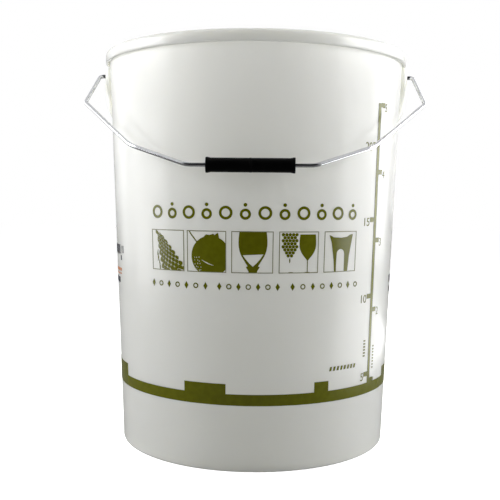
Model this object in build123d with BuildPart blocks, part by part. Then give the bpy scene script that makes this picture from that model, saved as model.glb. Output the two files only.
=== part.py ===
"""A 25 litre plastic fermenting bucket with a wire bail handle.

Three pieces: the moulded tub with its rim and two handle lugs, the bent steel
wire bail whose ends turn in blind sockets in the lugs, and the moulded grip
that turns on the wire.

Frame: +Z is up, +X points through the right-hand lug and -Y is the side where
the bail hangs. The origin is the centre of the foot, on the floor.
All sizes are in millimetres and degrees.
"""

from build123d import *

import math
import os

# Tub: a tapered round wall, measured on its outside
height = 406.6
foot_radius = 140.5
taper = 0.03626
wall = 2.0
foot_edge_radius = 2.5

# Base: a panel raised on a foot ring, with moulding marks below
panel_height = 4.0
panel_thickness = 2.6
foot_ring_width = 3.5
foot_ring_draft = 1.0
floor_corner_radius = 6.0
base_rib_radii = (45.0, 90.0)
base_rib_width = 1.6
base_rib_depth = 1.2
gate_radius = 4.0
gate_depth = 1.0

# Rim: a rounded flange with a skirt that hangs outside the wall
rim_radius = 159.0
rim_height = 11.8
rim_outer_edge_radius = 4.5
rim_inner_edge_radius = 1.0
skirt_edge_radius = 1.5
skirt_thickness = 2.4
rim_top_thickness = 6.8
web_count = 36
web_thickness = 1.2
web_rise = 1.0

# Lugs: solid tongues below the rim on both sides that fade into the wall
pivot_height = 386.9
lug_half_width = 15.0
lug_face = 161.2
lug_fade_height = 355.3
lug_fade_radius = 92.0
lug_tail = (151.3, 333.4)
lug_root = 140.0
lug_end_height = 352.5
lug_edge_radius = 6.5
lug_shoulder_rise = 1.6
lug_shoulder_slope = 0.5
bond_depth = 1.3
socket_bottom = 153.9
socket_clearance = 0.06

# Bail: one round wire, drawn as half its outline from the middle outwards
wire_radius = 2.0
wire_end_gap = 0.4
wire_end_chamfer = 0.4
rest_angle = 57.4
bail_reach = 187.8
grip_corner_x = 57.6
grip_corner_radius = 18.0
shoulder = (113.4, 152.1)
shoulder_radius = 35.0
kink = (172.4, 63.8)
kink_radius = 7.0
leg_top_x = 168.6
leg_bend_radius = 4.5

# Grip: a tube with a flared flange at each end and a fine ring at mid length
grip_length = 80.0
grip_radius = 6.5
flange_radius = 7.15
flange_length = 1.8
flare_length = 2.6
flange_edge_radius = 0.5
ring_radius = 6.7
ring_width = 1.2
grip_bore_clearance = 0.06
grip_bore_chamfer = 0.6


def outer_radius(z):
    """Outside radius of the tapered wall at height z."""
    return foot_radius + taper * z


def inner_radius(z):
    """Inside radius of the tapered wall at height z."""
    return outer_radius(z) - wall


def bond_radius(z):
    """A radius inside the wall's thickness, where the lugs start."""
    return outer_radius(z) - bond_depth


floor_height = panel_height + panel_thickness
rim_bottom = height - rim_height
channel_top = height - rim_top_thickness
skirt_inner = rim_radius - skirt_thickness
foot_inner = foot_radius - foot_edge_radius - foot_ring_width

os.makedirs("parts", exist_ok=True)


# Bucket body ----------------------------------------------------------------
with BuildPart() as bucket_body:
    # Lug block in side view: its face hangs straight down from the rim, then
    # runs in a long curve to the wall
    with BuildSketch(Plane.XZ):
        with BuildLine():
            FilletPolyline(
                (lug_root, lug_tail[1]),
                lug_tail,
                (lug_face, lug_fade_height),
                (lug_face, height),
                (lug_root, height),
                radius=(0, 0, lug_fade_radius, 0, 0),
                close=True,
            )
        make_face()
    extrude(amount=lug_half_width, both=True)

    # The tongue in front view has a round lower end
    with BuildSketch(Plane.YZ):
        with Locations((0, lug_end_height)):
            Circle(lug_half_width)
        with Locations((0, (lug_end_height + height) / 2)):
            Rectangle(2 * lug_half_width, height - lug_end_height)
    extrude(amount=2 * rim_radius, mode=Mode.INTERSECT)
    front_faces = bucket_body.faces().filter_by(lambda face: face.normal_at().X > 0.9)
    front_edges = front_faces.edges().filter_by(lambda edge: abs(edge.center().Y) > 1)
    fillet(front_edges, radius=lug_edge_radius)
    mirror(about=Plane.YZ)

    # The lugs stop inside the wall's thickness, under the rim's top and, on
    # their front, in a sloping shoulder that runs into the skirt
    skirt_middle = skirt_inner + skirt_thickness / 2
    shoulder_height = rim_bottom + lug_shoulder_rise
    shoulder_drop = lug_shoulder_slope * (2 * rim_radius - skirt_middle)
    beyond_the_lugs = [
        (0, lug_tail[1]),
        (bond_radius(lug_tail[1]), lug_tail[1]),
        (bond_radius(channel_top), channel_top + 1),
        (skirt_middle, channel_top + 1),
        (skirt_middle, shoulder_height),
        (2 * rim_radius, shoulder_height - shoulder_drop),
        (2 * rim_radius, height),
        (0, height),
    ]
    with BuildSketch(Plane.XZ):
        with BuildLine():
            Polyline(*beyond_the_lugs, close=True)
        make_face()
    revolve(axis=Axis.Z, mode=Mode.SUBTRACT)

    # Wall, base, foot ring and rim: each corner of the section and its radius
    section_corners = [
        ((0, panel_height), 0),
        ((foot_inner - foot_ring_draft, panel_height), 0),
        ((foot_inner, 0), 0),
        ((foot_radius, 0), foot_edge_radius),
        ((outer_radius(channel_top), channel_top), 0),
        ((skirt_inner, channel_top), 0),
        ((skirt_inner, rim_bottom), 0),
        ((rim_radius, rim_bottom), skirt_edge_radius),
        ((rim_radius, height), rim_outer_edge_radius),
        ((inner_radius(height), height), rim_inner_edge_radius),
        ((inner_radius(floor_height), floor_height), floor_corner_radius),
        ((0, floor_height), 0),
    ]
    with BuildSketch(Plane.XZ):
        with BuildLine():
            FilletPolyline(
                [point for point, radius in section_corners],
                radius=[radius for point, radius in section_corners],
                close=True,
            )
        make_face()
    revolve(axis=Axis.Z)

    # Webs that tie the skirt to the wall inside the rim's channel
    web_inner = outer_radius(rim_bottom) - bond_depth / 2
    web_outer = skirt_inner + skirt_thickness / 2
    web_height = channel_top - rim_bottom
    web_centre = rim_bottom + web_rise + web_height / 2
    with Locations((0, 0, web_centre)):
        with PolarLocations((web_inner + web_outer) / 2, web_count):
            Box(web_outer - web_inner, web_thickness, web_height)

    # Ring ribs and the gate mark below the base panel
    for rib_radius in base_rib_radii:
        with BuildSketch(Plane.XY.offset(panel_height - base_rib_depth)):
            Circle(rib_radius + base_rib_width / 2)
            Circle(rib_radius - base_rib_width / 2, mode=Mode.SUBTRACT)
        extrude(amount=base_rib_depth + panel_thickness / 2)
    with BuildSketch(Plane.XY.offset(panel_height - gate_depth)):
        Circle(gate_radius)
    extrude(amount=gate_depth + panel_thickness / 2)

    # Blind sockets for the ends of the wire
    for side in (1, -1):
        with BuildSketch(Plane.YZ.offset(side * socket_bottom)):
            with Locations((0, pivot_height)):
                Circle(wire_radius + socket_clearance)
        extrude(amount=side * (lug_face - socket_bottom), mode=Mode.SUBTRACT)

bucket_body.part.label = "bucket_body"
export_step(bucket_body.part, "parts/bucket_body.step")


# Bail wire ------------------------------------------------------------------
# The bail's plane holds the pivot axis; its local y runs out towards the grip
rest = math.radians(rest_angle)
bail_plane = Plane(
    origin=(0, 0, pivot_height),
    x_dir=(1, 0, 0),
    z_dir=(0, math.cos(rest), -math.sin(rest)),
)
wire_end_x = socket_bottom + wire_end_gap
half_outline = [
    ((wire_end_x, 0), None),
    ((leg_top_x, 0), leg_bend_radius),
    (kink, kink_radius),
    (shoulder, shoulder_radius),
    ((grip_corner_x, bail_reach), grip_corner_radius),
]
left_half = [((-x, y), radius) for (x, y), radius in half_outline]
outline = half_outline + left_half[::-1]

with BuildPart() as bail_wire:
    with BuildLine(bail_plane) as wire_path:
        FilletPolyline(
            [point for point, radius in outline],
            radius=[radius for point, radius in outline if radius],
        )
    with BuildSketch(wire_path.line ^ 0):
        Circle(wire_radius)
    sweep(path=wire_path.line)
    wire_ends = bail_wire.faces().filter_by(GeomType.PLANE)
    chamfer(wire_ends.edges(), length=wire_end_chamfer)

bail_wire.part.label = "bail_wire"
export_step(bail_wire.part, "parts/bail_wire.step")


# Grip tube ------------------------------------------------------------------
# Half section above the wire's axis, drawn from one end to mid length
grip_plane = Plane(
    origin=bail_plane.from_local_coords((0, bail_reach)),
    x_dir=(1, 0, 0),
    z_dir=bail_plane.z_dir,
)
grip_bore = wire_radius + grip_bore_clearance
half_length = grip_length / 2
half_profile = [
    ((half_length, grip_bore + grip_bore_chamfer), 0),
    ((half_length, flange_radius), flange_edge_radius),
    ((half_length - flange_length, flange_radius), flange_edge_radius),
    ((half_length - flange_length - flare_length, grip_radius), flare_length / 2),
    ((ring_width, grip_radius), 0),
    ((ring_width / 2, ring_radius), 0),
]
bore_corner = [((half_length - grip_bore_chamfer, grip_bore), 0)]
right_profile = bore_corner + half_profile
left_profile = [((-x, y), radius) for (x, y), radius in right_profile]
profile = right_profile + left_profile[::-1]

with BuildPart() as grip_tube:
    with BuildSketch(grip_plane):
        with BuildLine():
            FilletPolyline(
                [point for point, radius in profile],
                radius=[radius for point, radius in profile],
                close=True,
            )
        make_face()
    revolve(axis=Axis(grip_plane.origin, grip_plane.x_dir))

grip_tube.part.label = "grip_tube"
export_step(grip_tube.part, "parts/grip_tube.step")
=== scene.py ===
"""Looks for the fermenting bucket: materials, printed ink, studio and camera."""

import math
import random

import bmesh
import bpy
from mathutils import Matrix, Vector


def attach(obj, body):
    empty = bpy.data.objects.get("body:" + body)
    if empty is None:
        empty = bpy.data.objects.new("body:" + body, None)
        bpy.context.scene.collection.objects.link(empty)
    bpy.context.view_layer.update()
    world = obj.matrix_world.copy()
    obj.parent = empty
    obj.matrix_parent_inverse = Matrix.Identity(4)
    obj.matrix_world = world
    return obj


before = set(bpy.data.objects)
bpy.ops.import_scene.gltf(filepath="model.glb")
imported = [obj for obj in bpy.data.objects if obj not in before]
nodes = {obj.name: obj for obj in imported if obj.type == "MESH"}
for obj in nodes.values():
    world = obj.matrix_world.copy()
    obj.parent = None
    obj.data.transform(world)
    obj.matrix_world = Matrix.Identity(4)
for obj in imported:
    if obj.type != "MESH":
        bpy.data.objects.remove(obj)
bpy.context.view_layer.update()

MM = 0.001

# The tub's outside wall in the CAD model: radius at the floor, and its growth
# per metre of height. The wall and floor thicknesses give the volume inside.
FOOT_RADIUS = 0.1405
TAPER = 0.03626
WALL = 0.002
FLOOR_TOP = 0.0066


def wall_radius(z):
    """Outside radius of the tub's wall at height z."""
    return FOOT_RADIUS + TAPER * z


# ---------------------------------------------------------------- node helpers
def new_material(name):
    """A material with a Principled shader: returns it, its tree and the shader."""
    material = bpy.data.materials.new(name)
    material.use_nodes = True
    tree = material.node_tree
    return material, tree, tree.nodes["Principled BSDF"]


def add_node(tree, kind, settings=None, inputs=None):
    """A node with its settings and its unlinked input values."""
    node = tree.nodes.new(kind)
    for key, value in (settings or {}).items():
        setattr(node, key, value)
    for key, value in (inputs or {}).items():
        node.inputs[key].default_value = value
    return node


def noise(tree, scale, detail, stretch=(1, 1, 1)):
    """Noise in the object's own coordinates, in features per metre."""
    coordinates = add_node(tree, "ShaderNodeTexCoord")
    mapping = add_node(tree, "ShaderNodeMapping", inputs={"Scale": stretch})
    texture = add_node(tree, "ShaderNodeTexNoise", inputs={"Scale": scale, "Detail": detail})
    tree.links.new(coordinates.outputs["Object"], mapping.inputs["Vector"])
    tree.links.new(mapping.outputs["Vector"], texture.inputs["Vector"])
    return texture.outputs["Fac"]


def ramp(tree, value, low, high):
    """A colour that runs from low to high as value passes the middle of its range."""
    node = add_node(tree, "ShaderNodeValToRGB")
    first, last = node.color_ramp.elements
    first.position, last.position = 0.35, 0.65
    first.color, last.color = (*low, 1), (*high, 1)
    tree.links.new(value, node.inputs["Fac"])
    return node.outputs["Color"]


def span(tree, value, low, high, source=(0.3, 0.7)):
    """value mapped from the source range to low..high."""
    node = add_node(
        tree,
        "ShaderNodeMapRange",
        inputs={
            "From Min": source[0],
            "From Max": source[1],
            "To Min": low,
            "To Max": high,
        },
    )
    tree.links.new(value, node.inputs["Value"])
    return node.outputs["Result"]


def bump(tree, height, distance, strength=1.0, below=None):
    """A bump of the given distance in metres, over another bump if there is one."""
    node = add_node(
        tree, "ShaderNodeBump", inputs={"Distance": distance, "Strength": strength}
    )
    tree.links.new(height, node.inputs["Height"])
    if below is not None:
        tree.links.new(below, node.inputs["Normal"])
    return node.outputs["Normal"]


# ------------------------------------------------------------------- materials
def bucket_plastic():
    """Natural white polypropylene: a satin skin with faint flow marks."""
    material, tree, shader = new_material("bucket_plastic")
    colour = ramp(tree, noise(tree, 9.0, 3.0), (0.815, 0.82, 0.765), (0.83, 0.835, 0.78))
    tree.links.new(colour, shader.inputs["Base Color"])
    rough = span(tree, noise(tree, 60.0, 4.0), 0.20, 0.25)
    tree.links.new(rough, shader.inputs["Roughness"])
    waves = bump(tree, noise(tree, 14.0, 1.0, stretch=(1, 1, 0.35)), 0.0003, 0.5)
    grain = bump(tree, noise(tree, 2600.0, 2.0), 0.00002, 0.5, below=waves)
    tree.links.new(grain, shader.inputs["Normal"])
    shader.inputs["IOR"].default_value = 1.49
    shader.inputs["Subsurface Weight"].default_value = 1.0
    shader.inputs["Subsurface Radius"].default_value = (1.0, 0.98, 0.92)
    shader.inputs["Subsurface Scale"].default_value = 0.010
    return material


def wire_steel():
    """Bright zinc-plated wire, finely drawn along its length."""
    material, tree, shader = new_material("wire_steel")
    colour = ramp(tree, noise(tree, 220.0, 3.0), (0.66, 0.67, 0.69), (0.72, 0.73, 0.75))
    tree.links.new(colour, shader.inputs["Base Color"])
    rough = span(tree, noise(tree, 220.0, 2.0), 0.07, 0.12)
    tree.links.new(rough, shader.inputs["Roughness"])
    skin = bump(tree, noise(tree, 1500.0, 2.0), 0.00001, 0.1)
    tree.links.new(skin, shader.inputs["Normal"])
    shader.inputs["Metallic"].default_value = 1.0
    return material


def grip_plastic():
    """Black polyethylene with a fine moulded grain."""
    material, tree, shader = new_material("grip_plastic")
    darkest, lightest = (0.0004, 0.0004, 0.0004), (0.0010, 0.0010, 0.0010)
    colour = ramp(tree, noise(tree, 120.0, 3.0), darkest, lightest)
    tree.links.new(colour, shader.inputs["Base Color"])
    rough = span(tree, noise(tree, 300.0, 3.0), 0.38, 0.52)
    tree.links.new(rough, shader.inputs["Roughness"])
    grain = bump(tree, noise(tree, 1800.0, 2.0), 0.00004, 0.6)
    tree.links.new(grain, shader.inputs["Normal"])
    shader.inputs["IOR"].default_value = 1.5
    shader.inputs["Specular IOR Level"].default_value = 0.07
    return material


def screen_ink(name, light, dark):
    """Screen-printed ink: even, a little glossy, thinner in places."""
    material, tree, shader = new_material(name)
    colour = ramp(tree, noise(tree, 180.0, 4.0), dark, light)
    tree.links.new(colour, shader.inputs["Base Color"])
    rough = span(tree, noise(tree, 90.0, 3.0), 0.18, 0.26)
    tree.links.new(rough, shader.inputs["Roughness"])
    mesh_marks = bump(tree, noise(tree, 3000.0, 2.0), 0.00001, 0.5)
    tree.links.new(mesh_marks, shader.inputs["Normal"])
    shader.inputs["IOR"].default_value = 1.47
    return material


for node_name, make in (
    ("bucket_body", bucket_plastic),
    ("bail_wire", wire_steel),
    ("grip_tube", grip_plastic),
):
    mesh = nodes[node_name].data
    mesh.materials.clear()
    mesh.materials.append(make())

screen_ink("print_ink", (0.128, 0.134, 0.0010), (0.112, 0.116, 0.0006))
screen_ink("frame_ink", (0.24, 0.24, 0.13), (0.20, 0.20, 0.10))
screen_ink("label_dark", (0.08, 0.08, 0.10), (0.06, 0.06, 0.08))
screen_ink("label_orange", (0.74, 0.36, 0.20), (0.68, 0.31, 0.17))


# ----------------------------------------------------------------- drawn shapes
# Flat shapes are closed loops of (x, y) points. They are drawn in metres, or
# in the unit square of a picture frame, and wrapped round the tub afterwards.
def sweep(start, end, steps):
    """Angles in radians from start to end, both in degrees."""
    return [math.radians(start + (end - start) * i / steps) for i in range(steps + 1)]


def arc(x, y, radius, start, end, steps=24):
    """Points along an arc about (x, y)."""
    angles = sweep(start, end, steps)
    return [(x + radius * math.cos(a), y + radius * math.sin(a)) for a in angles]


def disc(x, y, radius, steps=32):
    """A full circle."""
    return arc(x, y, radius, 0, 360, steps)[:-1]


def block(left, bottom, right, top):
    """An upright rectangle."""
    return [(left, bottom), (right, bottom), (right, top), (left, top)]


def leaf(tail, tip, width, bend=0.0, steps=8):
    """A pointed leaf from tail to tip, curved to its left by bend."""
    (x0, y0), (x1, y1) = tail, tip
    along = Vector((x1 - x0, y1 - y0))
    aside = Vector((-along.y, along.x)).normalized()
    edges = []
    for side in (1, -1):
        edge = []
        for i in range(steps + 1):
            t = i / steps
            swell = math.sin(math.pi * t) ** 0.8
            shift = bend * 4 * t * (1 - t) + side * width / 2 * swell
            point = Vector(tail) + along * t + aside * shift
            edge.append((point.x, point.y))
        edges.append(edge)
    return edges[0] + edges[1][-2:0:-1]


def blend(a, b, c, d, t):
    """A value between b at t = 0 and c at t = 1, with the slopes set by a and d."""
    linear = (c - a) * t
    square = (2 * a - 5 * b + 4 * c - d) * t**2
    cube = (3 * b - a - 3 * c + d) * t**3
    return 0.5 * (2 * b + linear + square + cube)


def smooth(points):
    """An open curve that passes through all the points."""
    steps = 8
    padded = [points[0], *points, points[-1]]
    curve = []
    for four in zip(padded, padded[1:], padded[2:], padded[3:]):
        for i in range(steps):
            curve.append(tuple(blend(*values, i / steps) for values in zip(*four)))
    return [*curve, points[-1]]


def stroke(points, width):
    """A line of even width along an open curve."""
    left, right = [], []
    for i, point in enumerate(points):
        before = Vector(points[max(i - 1, 0)])
        after = Vector(points[min(i + 1, len(points) - 1)])
        along = (after - before).normalized()
        aside = Vector((-along.y, along.x)) * width / 2
        left.append(tuple(Vector(point) + aside))
        right.append(tuple(Vector(point) - aside))
    return left + right[::-1]


# ------------------------------------------------------------------ ink pieces
# The wall is unrolled about its radius at the pictures' height. Ink stands a
# little proud of the wall, and its sides sink into it.
PRINT_RADIUS = wall_radius(207.0 * MM)
INK_PROUD = 0.10 * MM
INK_THICK = 0.30 * MM
WRAP_STEP = math.radians(2.0) * PRINT_RADIUS


def filled(curve):
    """The flat mesh of a filled curve."""
    holder = bpy.data.objects.new("flat", curve)
    bpy.context.scene.collection.objects.link(holder)
    bpy.context.view_layer.update()
    mesh = bpy.data.meshes.new_from_object(holder)
    bpy.data.objects.remove(holder)
    return mesh


def outline(loops):
    """A 2D curve of closed loops; a loop inside another one is a hole."""
    curve = bpy.data.curves.new("loops", "CURVE")
    curve.dimensions = "2D"
    curve.fill_mode = "BOTH"
    for loop in loops:
        spline = curve.splines.new("POLY")
        spline.points.add(len(loop) - 1)
        for point, (x, y) in zip(spline.points, loop):
            point.co = (x, y, 0, 1)
        spline.use_cyclic_u = True
    return curve


def numeral(number, height):
    """A number's flat mesh, with its lower left corner at (0, 0)."""
    curve = bpy.data.curves.new("numeral", "FONT")
    curve.body = str(number)
    mesh = filled(curve)
    low = [min(v.co[i] for v in mesh.vertices) for i in (0, 1)]
    top = max(v.co.y for v in mesh.vertices)
    scale = height / (top - low[1])
    mesh.transform(Matrix.Scale(scale, 4) @ Matrix.Translation((-low[0], -low[1], 0)))
    return mesh


def place(mesh, x, y, scale=1.0):
    """Scales a flat mesh and moves it on the unrolled wall, and returns it."""
    mesh.transform(Matrix.Translation((x, y, 0)) @ Matrix.Scale(scale, 4))
    return mesh


def across(degrees):
    """Distance from the wall's front line, on the unrolled wall."""
    return math.radians(degrees) * PRINT_RADIUS


def cone_normal(point):
    """The wall's normal at a point on it."""
    outward = Vector((point.x, point.y, 0)).normalized()
    return (outward - Vector((0, 0, TAPER))).normalized()


def outwardness(face):
    """1 where a face looks away from the tub's axis, -1 where it looks at it."""
    middle = face.calc_center_median()
    outward = Vector((middle.x, middle.y, 0)).normalized()
    return face.normal.dot(outward)


def ink(name, flats, crop=None, colour="print_ink"):
    """One printed piece: flat meshes joined, cropped, wrapped and thickened."""
    bm = bmesh.new()
    for mesh in flats:
        bm.from_mesh(mesh)
        bpy.data.meshes.remove(mesh)
    cuts = []
    if crop:
        left, bottom, right, top = crop
        cuts += [((left, 0, 0), (-1, 0, 0)), ((right, 0, 0), (1, 0, 0))]
        cuts += [((0, bottom, 0), (0, -1, 0)), ((0, top, 0), (0, 1, 0))]
    for point, outward in cuts:
        everything = bm.verts[:] + bm.edges[:] + bm.faces[:]
        bmesh.ops.bisect_plane(
            bm, geom=everything, plane_co=point, plane_no=outward, clear_outer=True
        )
    first = math.floor(min(v.co.x for v in bm.verts) / WRAP_STEP) + 1
    last = math.ceil(max(v.co.x for v in bm.verts) / WRAP_STEP)
    for i in range(first, last):
        everything = bm.verts[:] + bm.edges[:] + bm.faces[:]
        bmesh.ops.bisect_plane(
            bm, geom=everything, plane_co=(i * WRAP_STEP, 0, 0), plane_no=(1, 0, 0)
        )
    bmesh.ops.remove_doubles(bm, verts=bm.verts, dist=1e-6)
    for vertex in bm.verts:
        angle = vertex.co.x / PRINT_RADIUS
        z = vertex.co.y
        radius = wall_radius(z) + INK_PROUD
        vertex.co = (radius * math.sin(angle), -radius * math.cos(angle), z)
    for face in bm.faces:
        face.normal_update()
        if outwardness(face) < 0:
            face.normal_flip()
    bmesh.ops.solidify(bm, geom=bm.faces[:], thickness=INK_THICK)
    normals = []
    for face in bm.faces:
        face.normal_update()
        facing = outwardness(face)
        on_wall = abs(facing) > 0.5
        face.smooth = on_wall
        for corner in face.loops:
            if on_wall:
                normals.append(cone_normal(corner.vert.co) * math.copysign(1, facing))
            else:
                normals.append(face.normal.copy())
    mesh = bpy.data.meshes.new(name)
    bm.to_mesh(mesh)
    bm.free()
    mesh.normals_split_custom_set(normals)
    mesh.materials.append(bpy.data.materials[colour])
    piece = bpy.data.objects.new(name, mesh)
    bpy.context.scene.collection.objects.link(piece)
    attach(piece, "tub")
    return piece


# -------------------------------------------------------------- volume scale
# Where the marks stand follows from the volume inside the tub. The printed
# scale reads a little high: each mark holds 0.23 litre less than its number.
LITRE = 0.001
GALLON = 4.546 * LITRE
READS_HIGH = 0.23 * LITRE


def volume_below(z):
    """Volume inside the tub from its floor to height z."""
    low = wall_radius(FLOOR_TOP) - WALL
    high = wall_radius(z) - WALL
    return math.pi * (high**3 - low**3) / (3 * TAPER)


def mark_height(volume):
    """Height at which the tub holds the volume that a mark stands for."""
    low, high = FLOOR_TOP, 0.4
    for _ in range(40):
        middle = (low + high) / 2
        if volume_below(middle) < volume - READS_HIGH:
            low = middle
        else:
            high = middle
    return middle


BAND_BOTTOM = 64.0 * MM
BAND_TOP = 74.7 * MM
LINE_TOP = 349.0 * MM
# The scale line's edges at its foot and its top, in degrees right of the front.
LINE_LEFT_FOOT, LINE_RIGHT_FOOT = 53.65, 55.5
LINE_LEFT_TOP, LINE_RIGHT_TOP = 52.3, 54.2


def line_edge(z, foot, top):
    """Where one edge of the leaning scale line is at height z, in degrees."""
    return foot + (top - foot) * (z - BAND_TOP) / (LINE_TOP - BAND_TOP)


def scale_line():
    """The upright line between the litre and the gallon marks."""
    corners = [
        (across(LINE_LEFT_FOOT), BAND_TOP - 1 * MM),
        (across(LINE_RIGHT_FOOT), BAND_TOP - 1 * MM),
        (across(LINE_RIGHT_TOP), LINE_TOP),
        (across(LINE_LEFT_TOP), LINE_TOP),
    ]
    ink("scale_line", [filled(outline([corners]))])


def scale_marks(name, volume, count, step, side):
    """Ticks and numerals beside the line: side is -1 for its left, 1 for its right."""
    tick_length, tick_height, digit_height = 7.0 * MM, 4.6 * MM, 7.8 * MM
    gap = 1.0 * MM
    flats = []
    for i in range(1, count + 1):
        z = mark_height(volume * i)
        if side < 0:
            edge = across(line_edge(z, LINE_LEFT_FOOT, LINE_LEFT_TOP))
        else:
            edge = across(line_edge(z, LINE_RIGHT_FOOT, LINE_RIGHT_TOP))
        tip = edge + side * tick_length
        tick = block(min(edge, tip), z - tick_height / 2, max(edge, tip), z + tick_height / 2)
        flats.append(filled(outline([tick])))
        digits = numeral(i * step, digit_height)
        width = max(v.co.x for v in digits.vertices)
        left = tip + gap if side > 0 else tip - gap - width
        flats.append(place(digits, left, z + tick_height / 2 - digit_height - 0.5 * MM))
    ink(name, flats)


def dashes(count, pitch, width, height):
    """A column of short dashes, which stands for a unit beside the line."""
    return [block(0, i * pitch, width, i * pitch + height) for i in range(count)]


def unit_dashes():
    """Two columns of dashes beside the foot of the line."""
    left = filled(outline(dashes(6, 3.0 * MM, 3.6 * MM, 1.5 * MM)))
    right = filled(outline(dashes(8, 3.1 * MM, 2.6 * MM, 1.5 * MM)))
    left = place(left, across(49.7), 102 * MM)
    right = place(right, across(57.0), 88 * MM)
    ink("unit_dashes", [left, right])


# -------------------------------------------------------------------- the band
# Where the band's raised blocks start and end, in degrees, and their tops in
# millimetres. The band starts and ends where the outermost block starts.
BAND_START = -101.0
BAND_BLOCKS = (
    (BAND_START, -61.4, 87.0),
    (-25.3, -8.7, 84.2),
    (25.2, 31.4, 84.4),
    (69.8, 96.0, 84.3),
    (128.0, 144.6, 84.2),
    (178.5, 184.7, 84.4),
    (211.0, 232.0, 84.2),
)


def band():
    """The ring round the tub, with blocks that stand on it."""
    edges = {BAND_START, BAND_START + 360.0}
    for start, end, _ in BAND_BLOCKS:
        edges.update((start, end))
    edges = sorted(edges)
    points = [(across(edges[0]), BAND_BOTTOM), (across(edges[-1]), BAND_BOTTOM)]
    tops = []
    for start, end in zip(edges, edges[1:]):
        top = BAND_TOP
        for left, right, height in BAND_BLOCKS:
            if left <= start and end <= right:
                top = height * MM
        tops += [(across(start), top), (across(end), top)]
    ink("band", [filled(outline([points + tops[::-1]]))])


# -------------------------------------------------------- heading and pictures
# The heading's ends and the picture frames' centres, in degrees.
PRINT_LEFT, PRINT_RIGHT = -38.8, 42.3
FRAME_CENTRES = (-32.0, -15.9, 0.8, 17.7, 34.9)
FRAME_BOTTOM = 188.0 * MM
FRAME_SIZE = 38.4 * MM
FRAME_LINE = 0.75 * MM


def heading():
    """A row of bubbles, large and small by turns, with little ones rising."""
    count = 12
    foot, large, small, thick = 236.8 * MM, 6.3 * MM, 5.1 * MM, 2.5 * MM
    rise, little = 3.4 * MM, 1.7 * MM
    left, right = across(PRINT_LEFT) + large, across(PRINT_RIGHT) - large
    flats = []
    for i in range(count):
        x = left + (right - left) * i / (count - 1)
        radius = small if i % 2 else large
        z = foot + radius
        flats.append(filled(outline([disc(x, z, radius), disc(x, z, radius - thick)])))
        if i % 2:
            flats.append(filled(outline([disc(x, foot + 2 * small + rise, little)])))
    ink("heading", flats)


def lozenge(x, y, width, height):
    """A diamond standing on its point."""
    return [(x - width / 2, y), (x, y - height / 2), (x + width / 2, y), (x, y + height / 2)]


def caption():
    """Three groups of lozenges and beads by turns, below the pictures."""
    groups = ((7, -39.0, -16.2), (7, -11.0, 10.0), (8, 15.5, 42.8))
    middle, bead, hole = 175.4 * MM, 2.6 * MM, 1.5 * MM
    width, height = 4.2 * MM, 7.2 * MM
    loops = []
    for count, left, right in groups:
        for i in range(count):
            x = across(left + (right - left) * i / (count - 1))
            if i % 2:
                loops += [disc(x, middle, bead, 20), disc(x, middle, hole, 20)]
            else:
                loops.append(lozenge(x, middle, width, height))
    ink("caption", [filled(outline(loops))])


def note():
    """A short row of slanting dashes above the band."""
    count, first, pitch, foot = 8, 31.5, 1.75, 93.5 * MM
    width, height, slant = 2.6 * MM, 4.0 * MM, 1.0 * MM
    loops = []
    for i in range(count):
        x, z = across(first + pitch * i), foot
        low = [(x, z), (x + width, z)]
        high = [(x + width + slant, z + height), (x + slant, z + height)]
        loops.append(low + high)
    ink("note", [filled(outline(loops))])


def picture_frames():
    """The thin square frames of the five pictures."""
    loops = []
    for centre in FRAME_CENTRES:
        left = across(centre) - FRAME_SIZE / 2
        bottom = FRAME_BOTTOM
        loops.append(block(left, bottom, left + FRAME_SIZE, bottom + FRAME_SIZE))
        left, bottom = left + FRAME_LINE, bottom + FRAME_LINE
        inside = FRAME_SIZE - 2 * FRAME_LINE
        loops.append(block(left, bottom, left + inside, bottom + inside))
    ink("picture_frames", [filled(outline(loops))], colour="frame_ink")


def picture(name, index, flats):
    """A picture drawn in the unit square, put into one of the frames."""
    left = across(FRAME_CENTRES[index]) - FRAME_SIZE / 2
    placed = [place(mesh, left, FRAME_BOTTOM, FRAME_SIZE) for mesh in flats]
    right, top = left + FRAME_SIZE, FRAME_BOTTOM + FRAME_SIZE
    edge = FRAME_LINE * 0.9
    ink(name, placed, crop=(left + edge, FRAME_BOTTOM + edge, right - edge, top - edge))


def cone_point(row, column):
    """A place on the hop cone: row 0 at its top to 1, column -1 to 1 across."""
    middle = Vector((0.25, 0.86)).lerp(Vector((0.68, 0.00)), row)
    half = 0.07 + 0.30 * max(row, 0) ** 0.8
    return middle + Vector((0.886, 0.464)) * half * column


def cone_scale(row, column, deep, wide, grow):
    """One scale of the hop cone: a rounded diamond, grow times its cell."""
    middle = cone_point(row, column)
    corners = [
        cone_point(row - deep, column),
        cone_point(row, column + wide),
        cone_point(row + deep, column),
        cone_point(row, column - wide),
    ]
    loop = []
    for corner, following in zip(corners, corners[1:] + corners[:1]):
        side = (corner + following) / 2
        loop.append(middle.lerp(corner, 0.85 * grow))
        loop.append(middle.lerp(side, grow))
    return [tuple(point) for point in loop]


def hop_cone():
    """A hop cone: scales in staggered rows, with a stalk and fringed edges."""
    rows, columns = 12, 5
    growth = random.Random(3)
    loops = []
    for row in range(rows + 2):
        count = columns if row % 2 else columns - 1
        for i in range(count):
            column = (i - (count - 1) / 2) * 2 / columns
            grow = growth.uniform(0.92, 1.02)
            loops.append(cone_scale(row / rows, column, 1 / rows, 1 / columns, grow))
    flats = [filled(outline(loops))]
    flats.append(filled(outline([leaf((0.13, 0.98), (0.235, 0.88), 0.08, bend=-0.01)])))
    fringe = random.Random(4)
    for i in range(9):
        root = cone_point(0.30 + 0.08 * i, -1.06)
        tip = root + Vector((fringe.uniform(-0.05, 0.0), fringe.uniform(-0.17, -0.11)))
        flats.append(filled(outline([leaf(root, tip, 0.025, steps=4)])))
    picture("picture_hop", 0, flats)


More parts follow.
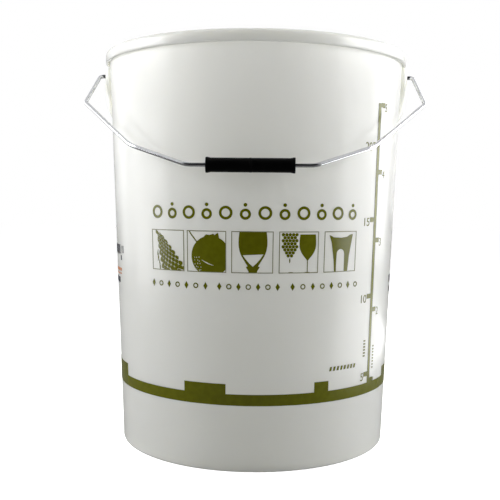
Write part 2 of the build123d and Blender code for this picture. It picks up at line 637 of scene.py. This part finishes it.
def ripe_fruit():
    """A round fruit with a stalk and a crown, flecked with light at its lower left."""
    light = [leaf((0.37, 0.31), (0.70, 0.17), 0.025, bend=-0.02)]
    flecks = random.Random(11)
    for row in range(5):
        for i in range(3):
            x = 0.20 + 0.06 * i + 0.012 * row + flecks.uniform(-0.012, 0.012)
            y = 0.37 - 0.075 * row + flecks.uniform(-0.015, 0.015)
            tip = (x + flecks.uniform(-0.012, 0.012), y - flecks.uniform(0.03, 0.055))
            light.append(leaf((x, y), tip, 0.022, steps=4))
    flats = [filled(outline([disc(0.61, 0.39, 0.49, 72), *light]))]
    stalk = stroke(smooth([(0.07, 0.98), (0.12, 0.90), (0.27, 0.72)]), 0.03)
    flats.append(filled(outline([stalk])))
    crown = [(0.42, 0.83), (0.50, 0.91), (0.60, 0.90), (0.68, 0.93), (0.72, 0.90), (0.80, 0.96)]
    crown += [(0.83, 0.83), (0.60, 0.86)]
    flats.append(filled(outline([crown])))
    picture("picture_fruit", 1, flats)


def wine_bowl():
    """The bowl of a full glass, close up, on the start of its stem."""
    left = [(0.20, 1.05), (0.175, 0.80), (0.18, 0.62), (0.225, 0.45), (0.32, 0.28), (0.39, 0.17)]
    left = smooth(left) + [(0.35, 0.15), (0.41, 0.05), (0.42, -0.03)]
    right = [(1.03 - x, y) for x, y in reversed(left)]
    clear = [(0.275, 0.43), (0.765, 0.455), (0.69, 0.34), (0.60, 0.235)]
    clear += [(0.515, 0.16), (0.43, 0.235), (0.34, 0.34)]
    picture("picture_bowl", 2, [filled(outline([left + right, clear]))])


def pair_of_glasses():
    """A glass heaped with grapes beside a full one on a thin stem."""
    middle, top, stem = 0.715, 0.93, 0.02
    side = [(0.20, top), (0.215, 0.76), (0.205, 0.60), (0.14, 0.46), (0.03, 0.33)]
    side = smooth([(middle + x, y) for x, y in side])
    side += [(middle + 0.5 * stem, 0.30), (middle + 0.5 * stem, 0.03)]
    other_side = [(2 * middle - x, y) for x, y in reversed(side)]
    flats = [filled(outline([side + other_side]))]
    flats.append(filled(outline([leaf((0.62, 0.015), (0.81, 0.015), 0.03)])))
    pitch, radius = 0.083, 0.0405
    for row, count in enumerate((5, 4, 5, 4, 5, 4, 3, 2)):
        for i in range(count):
            x = 0.265 + (i - (count - 1) / 2) * pitch
            y = 0.925 - row * pitch * 0.868
            flats.append(filled(outline([disc(x, y, radius, 16)])))
    flats.append(filled(outline([leaf((0.265, 0.37), (0.265, 0.24), 0.03)])))
    flats.append(filled(outline([leaf((0.21, 0.015), (0.38, 0.015), 0.03)])))
    picture("picture_glasses", 3, flats)


def beer_glass():
    """A tall tapered glass of beer, with light coming through its middle."""
    left = [(0.31, -0.03), (0.28, 0.30), (0.21, 0.72), (0.14, 0.91)]
    rim = [(0.20, 0.89), (0.26, 0.855), (0.50, 0.84), (0.68, 0.86)]
    rim += [(0.77, 0.91), (0.87, 0.93)]
    right = [(0.84, 0.78), (0.76, 0.40), (0.72, -0.03)]
    light = [(0.61, -0.03), (0.605, 0.44), *arc(0.485, 0.45, 0.115, 10, 170, 12)]
    light += [(0.36, 0.30), (0.355, -0.03)]
    picture("picture_beer", 4, [filled(outline([left + rim + right + light]))])


def bars(start, end, pitch, width, bottom, top):
    """Upright bars side by side, in degrees round the tub and millimetres up it."""
    count = int((end - start) / pitch + 1e-6) + 1
    lefts = [start + pitch * i for i in range(count)]
    return [block(across(x), bottom * MM, across(x + width), top * MM) for x in lefts]


def side_labels():
    """Rows of bars at both sides, where the tub carries small print."""
    dark = bars(-101.0, -66.0, 2.2, 1.3, 198.5, 208.0)
    dark += bars(-64.4, -62.0, 1.7, 0.6, 199.5, 207.0)
    dark += bars(-66.2, -66.2, 1.0, 1.3, 192.0, 197.0)
    dark += bars(-101.0, -69.0, 2.2, 1.4, 168.5, 174.5)
    dark += bars(74.5, 104.0, 2.2, 1.4, 170.5, 178.5)
    dark += bars(75.5, 104.0, 2.2, 0.9, 160.5, 166.5)
    ink("label_dark", [filled(outline(dark))], colour="label_dark")
    bright = bars(-101.0, -68.0, 3.0, 2.2, 177.5, 179.0)
    bright += bars(-101.0, -68.0, 3.0, 2.6, 181.0, 184.0)
    ink("label_bright", [filled(outline(bright))], colour="label_orange")


def printing():
    """Every printed piece on the tub."""
    scale_line()
    scale_marks("litre_marks", 5 * LITRE, 4, 5, -1)
    scale_marks("gallon_marks", GALLON, 5, 1, 1)
    unit_dashes()
    band()
    heading()
    caption()
    note()
    picture_frames()
    hop_cone()
    ripe_fruit()
    wine_bowl()
    pair_of_glasses()
    beer_glass()
    side_labels()


printing()


# ---------------------------------------------------------------------- camera
def place_camera():
    """The camera stands a little right of the bucket's front and looks down."""
    turn = math.radians(1.70)
    aside, away, up = -0.0044, 0.8695, 0.2557
    camera = bpy.data.objects.new("camera", bpy.data.cameras.new("camera"))
    bpy.context.scene.collection.objects.link(camera)
    camera.data.lens = 57.3
    camera.data.clip_start = 0.01
    tilt = math.radians(90 - 3.67)
    roll = math.radians(0.55)
    camera.matrix_world = (
        Matrix.Rotation(turn, 4, "Z")
        @ Matrix.Translation((aside, -away, up))
        @ Matrix.Rotation(tilt, 4, "X")
        @ Matrix.Rotation(roll, 4, "Z")
    )
    bpy.context.scene.camera = camera


place_camera()


# ---------------------------------------------------------------------- studio
# Glossy skins mirror white surroundings at this strength, but darkness in front.
# A direction's backward part plus its sideways part says how dark it is.
MIRRORED = 0.75
DARK_BELOW, WHITE_ABOVE = -0.20, 0.25
# They also mirror a dark patch behind, a little to the left: it draws the tub's
# left outline. A direction's backward part plus a share of its leftward part
# says how dark it is.
LEFT_SHARE = 0.2
WHITE_BELOW, DARK_ABOVE = 0.95, 1.01


def softbox(name, spot, size, power, sheen=True, shadow=True, target=(0, 0, 0.2)):
    """A soft box facing target. Gloss mirrors it if it has sheen."""
    light = bpy.data.lights.new(name, "AREA")
    light.shape = "RECTANGLE"
    light.size, light.size_y = size
    light.energy = power
    light.use_shadow = shadow
    lamp = bpy.data.objects.new(name, light)
    bpy.context.scene.collection.objects.link(lamp)
    lamp.location = spot
    direction = Vector(target) - lamp.location
    lamp.rotation_euler = direction.to_track_quat("-Z", "Y").to_euler()
    lamp.visible_glossy = sheen
    lamp.visible_camera = False
    return lamp


def round_the_bucket(azimuth, height):
    """A place at an azimuth in degrees: 0 is the front, positive the right."""
    distance = 1.2
    angle = math.radians(azimuth)
    return (distance * math.sin(angle), -distance * math.cos(angle), height)


def split_by_ray(tree, kind, other, chosen):
    """The chosen shader for one kind of ray, and the other shader for the rest."""
    path = add_node(tree, "ShaderNodeLightPath")
    mix = add_node(tree, "ShaderNodeMixShader")
    tree.links.new(path.outputs[kind], mix.inputs["Fac"])
    tree.links.new(other.outputs[0], mix.inputs[1])
    tree.links.new(chosen.outputs[0], mix.inputs[2])
    return mix


def white_surroundings():
    """White behind the bucket; glossy skins mirror it everywhere but in front."""
    world = bpy.data.worlds.new("studio")
    bpy.context.scene.world = world
    world.use_nodes = True
    tree = world.node_tree
    tree.nodes.clear()
    white = {"Color": (1, 1, 1, 1)}
    seen = add_node(tree, "ShaderNodeBackground", inputs=white)
    unlit = add_node(tree, "ShaderNodeBackground", inputs={**white, "Strength": 0.0})
    mirrored = add_node(tree, "ShaderNodeBackground", inputs=white)
    coordinates = add_node(tree, "ShaderNodeTexCoord")
    direction = add_node(tree, "ShaderNodeSeparateXYZ")
    tree.links.new(coordinates.outputs["Generated"], direction.inputs["Vector"])
    aside = add_node(tree, "ShaderNodeMath", {"operation": "ABSOLUTE"})
    tree.links.new(direction.outputs["X"], aside.inputs[0])
    total = add_node(tree, "ShaderNodeMath", {"operation": "ADD"})
    tree.links.new(aside.outputs["Value"], total.inputs[0])
    tree.links.new(direction.outputs["Y"], total.inputs[1])
    glow = span(tree, total.outputs["Value"], 0.0, MIRRORED, source=(DARK_BELOW, WHITE_ABOVE))
    leftward = add_node(tree, "ShaderNodeMath", {"operation": "MULTIPLY_ADD"})
    leftward.inputs[1].default_value = -LEFT_SHARE
    tree.links.new(direction.outputs["X"], leftward.inputs[0])
    tree.links.new(direction.outputs["Y"], leftward.inputs[2])
    backdrop = span(tree, leftward.outputs["Value"], 1.0, 0.0, source=(WHITE_BELOW, DARK_ABOVE))
    product = add_node(tree, "ShaderNodeMath", {"operation": "MULTIPLY"})
    tree.links.new(glow, product.inputs[0])
    tree.links.new(backdrop, product.inputs[1])
    tree.links.new(product.outputs["Value"], mirrored.inputs["Strength"])
    bounce = split_by_ray(tree, "Is Glossy Ray", unlit, mirrored)
    output = add_node(tree, "ShaderNodeOutputWorld")
    shader = split_by_ray(tree, "Is Camera Ray", bounce, seen)
    tree.links.new(shader.outputs["Shader"], output.inputs["Surface"])


def pale_floor():
    """A floor that looks white, with a soft shadow, and gives little light back."""
    bpy.ops.mesh.primitive_plane_add(size=12)
    floor = bpy.context.object
    floor.name = "floor"
    material, tree, seen = new_material("floor")
    seen.inputs["Base Color"].default_value = (0.9, 0.9, 0.9, 1)
    seen.inputs["Roughness"].default_value = 0.9
    seen.inputs["Specular IOR Level"].default_value = 0.0
    seen.inputs["Emission Color"].default_value = (1, 1, 1, 1)
    coordinates = add_node(tree, "ShaderNodeTexCoord")
    reach = add_node(tree, "ShaderNodeVectorMath", {"operation": "LENGTH"})
    tree.links.new(coordinates.outputs["Object"], reach.inputs[0])
    glow = span(tree, reach.outputs["Value"], 0.84, 1.0, source=(0.3, 1.2))
    tree.links.new(glow, seen.inputs["Emission Strength"])
    dull = add_node(tree, "ShaderNodeBsdfDiffuse", inputs={"Color": (0.15, 0.15, 0.15, 1)})
    output = tree.nodes["Material Output"]
    shader = split_by_ray(tree, "Is Camera Ray", dull, seen)
    tree.links.new(shader.outputs["Shader"], output.inputs["Surface"])
    floor.data.materials.append(material)


def lamps():
    """Wide boxes at both sides and dim fills in front, with more light from the right."""
    fill = {"sheen": False, "shadow": False}
    softbox("front_fill", round_the_bucket(0, 0.75), (0.6, 0.5), 3.8, **fill)
    softbox("left_fill", round_the_bucket(-60, 0.75), (0.5, 0.5), 1.2, **fill)
    softbox("right_fill", round_the_bucket(60, 0.75), (0.5, 0.5), 0.8, **fill)
    for side, name, high, low, back, rim in (
        (-1, "left", 9.6, 2.9, 2.1, 0.7),
        (1, "right", 9.0, 2.7, 4.7, 2.9),
    ):
        softbox(name + "_high_box", round_the_bucket(80 * side, 0.75), (0.75, 0.4), high)
        softbox(name + "_low_box", round_the_bucket(85 * side, 0.20), (0.75, 0.4), low)
        softbox(name + "_back_box", round_the_bucket(115 * side, 0.45), (0.6, 0.8), back)
        softbox(name + "_rim_box", round_the_bucket(130 * side, 0.90), (0.6, 0.5), rim)
    softbox("top_box", (0, 0.5, 1.2), (1.0, 0.6), 4.2, sheen=False)
    softbox("floor_bounce", (0, 0, -1.5), (0.3, 0.3), 5.5, target=(0, 0, 1), **fill)


def sheen_card():
    """A lamp on the floor to the right, seen only as a sheen on glossy skins."""
    x, y, z = 0.75, 0.12, 0.004
    card = softbox("sheen_card", (x, y, z), (0.7, 0.8), 4.8, target=(x, y, 1.0))
    card.visible_diffuse = False


bpy.context.scene.view_settings.view_transform = "Standard"
white_surroundings()
pale_floor()
lamps()
sheen_card()
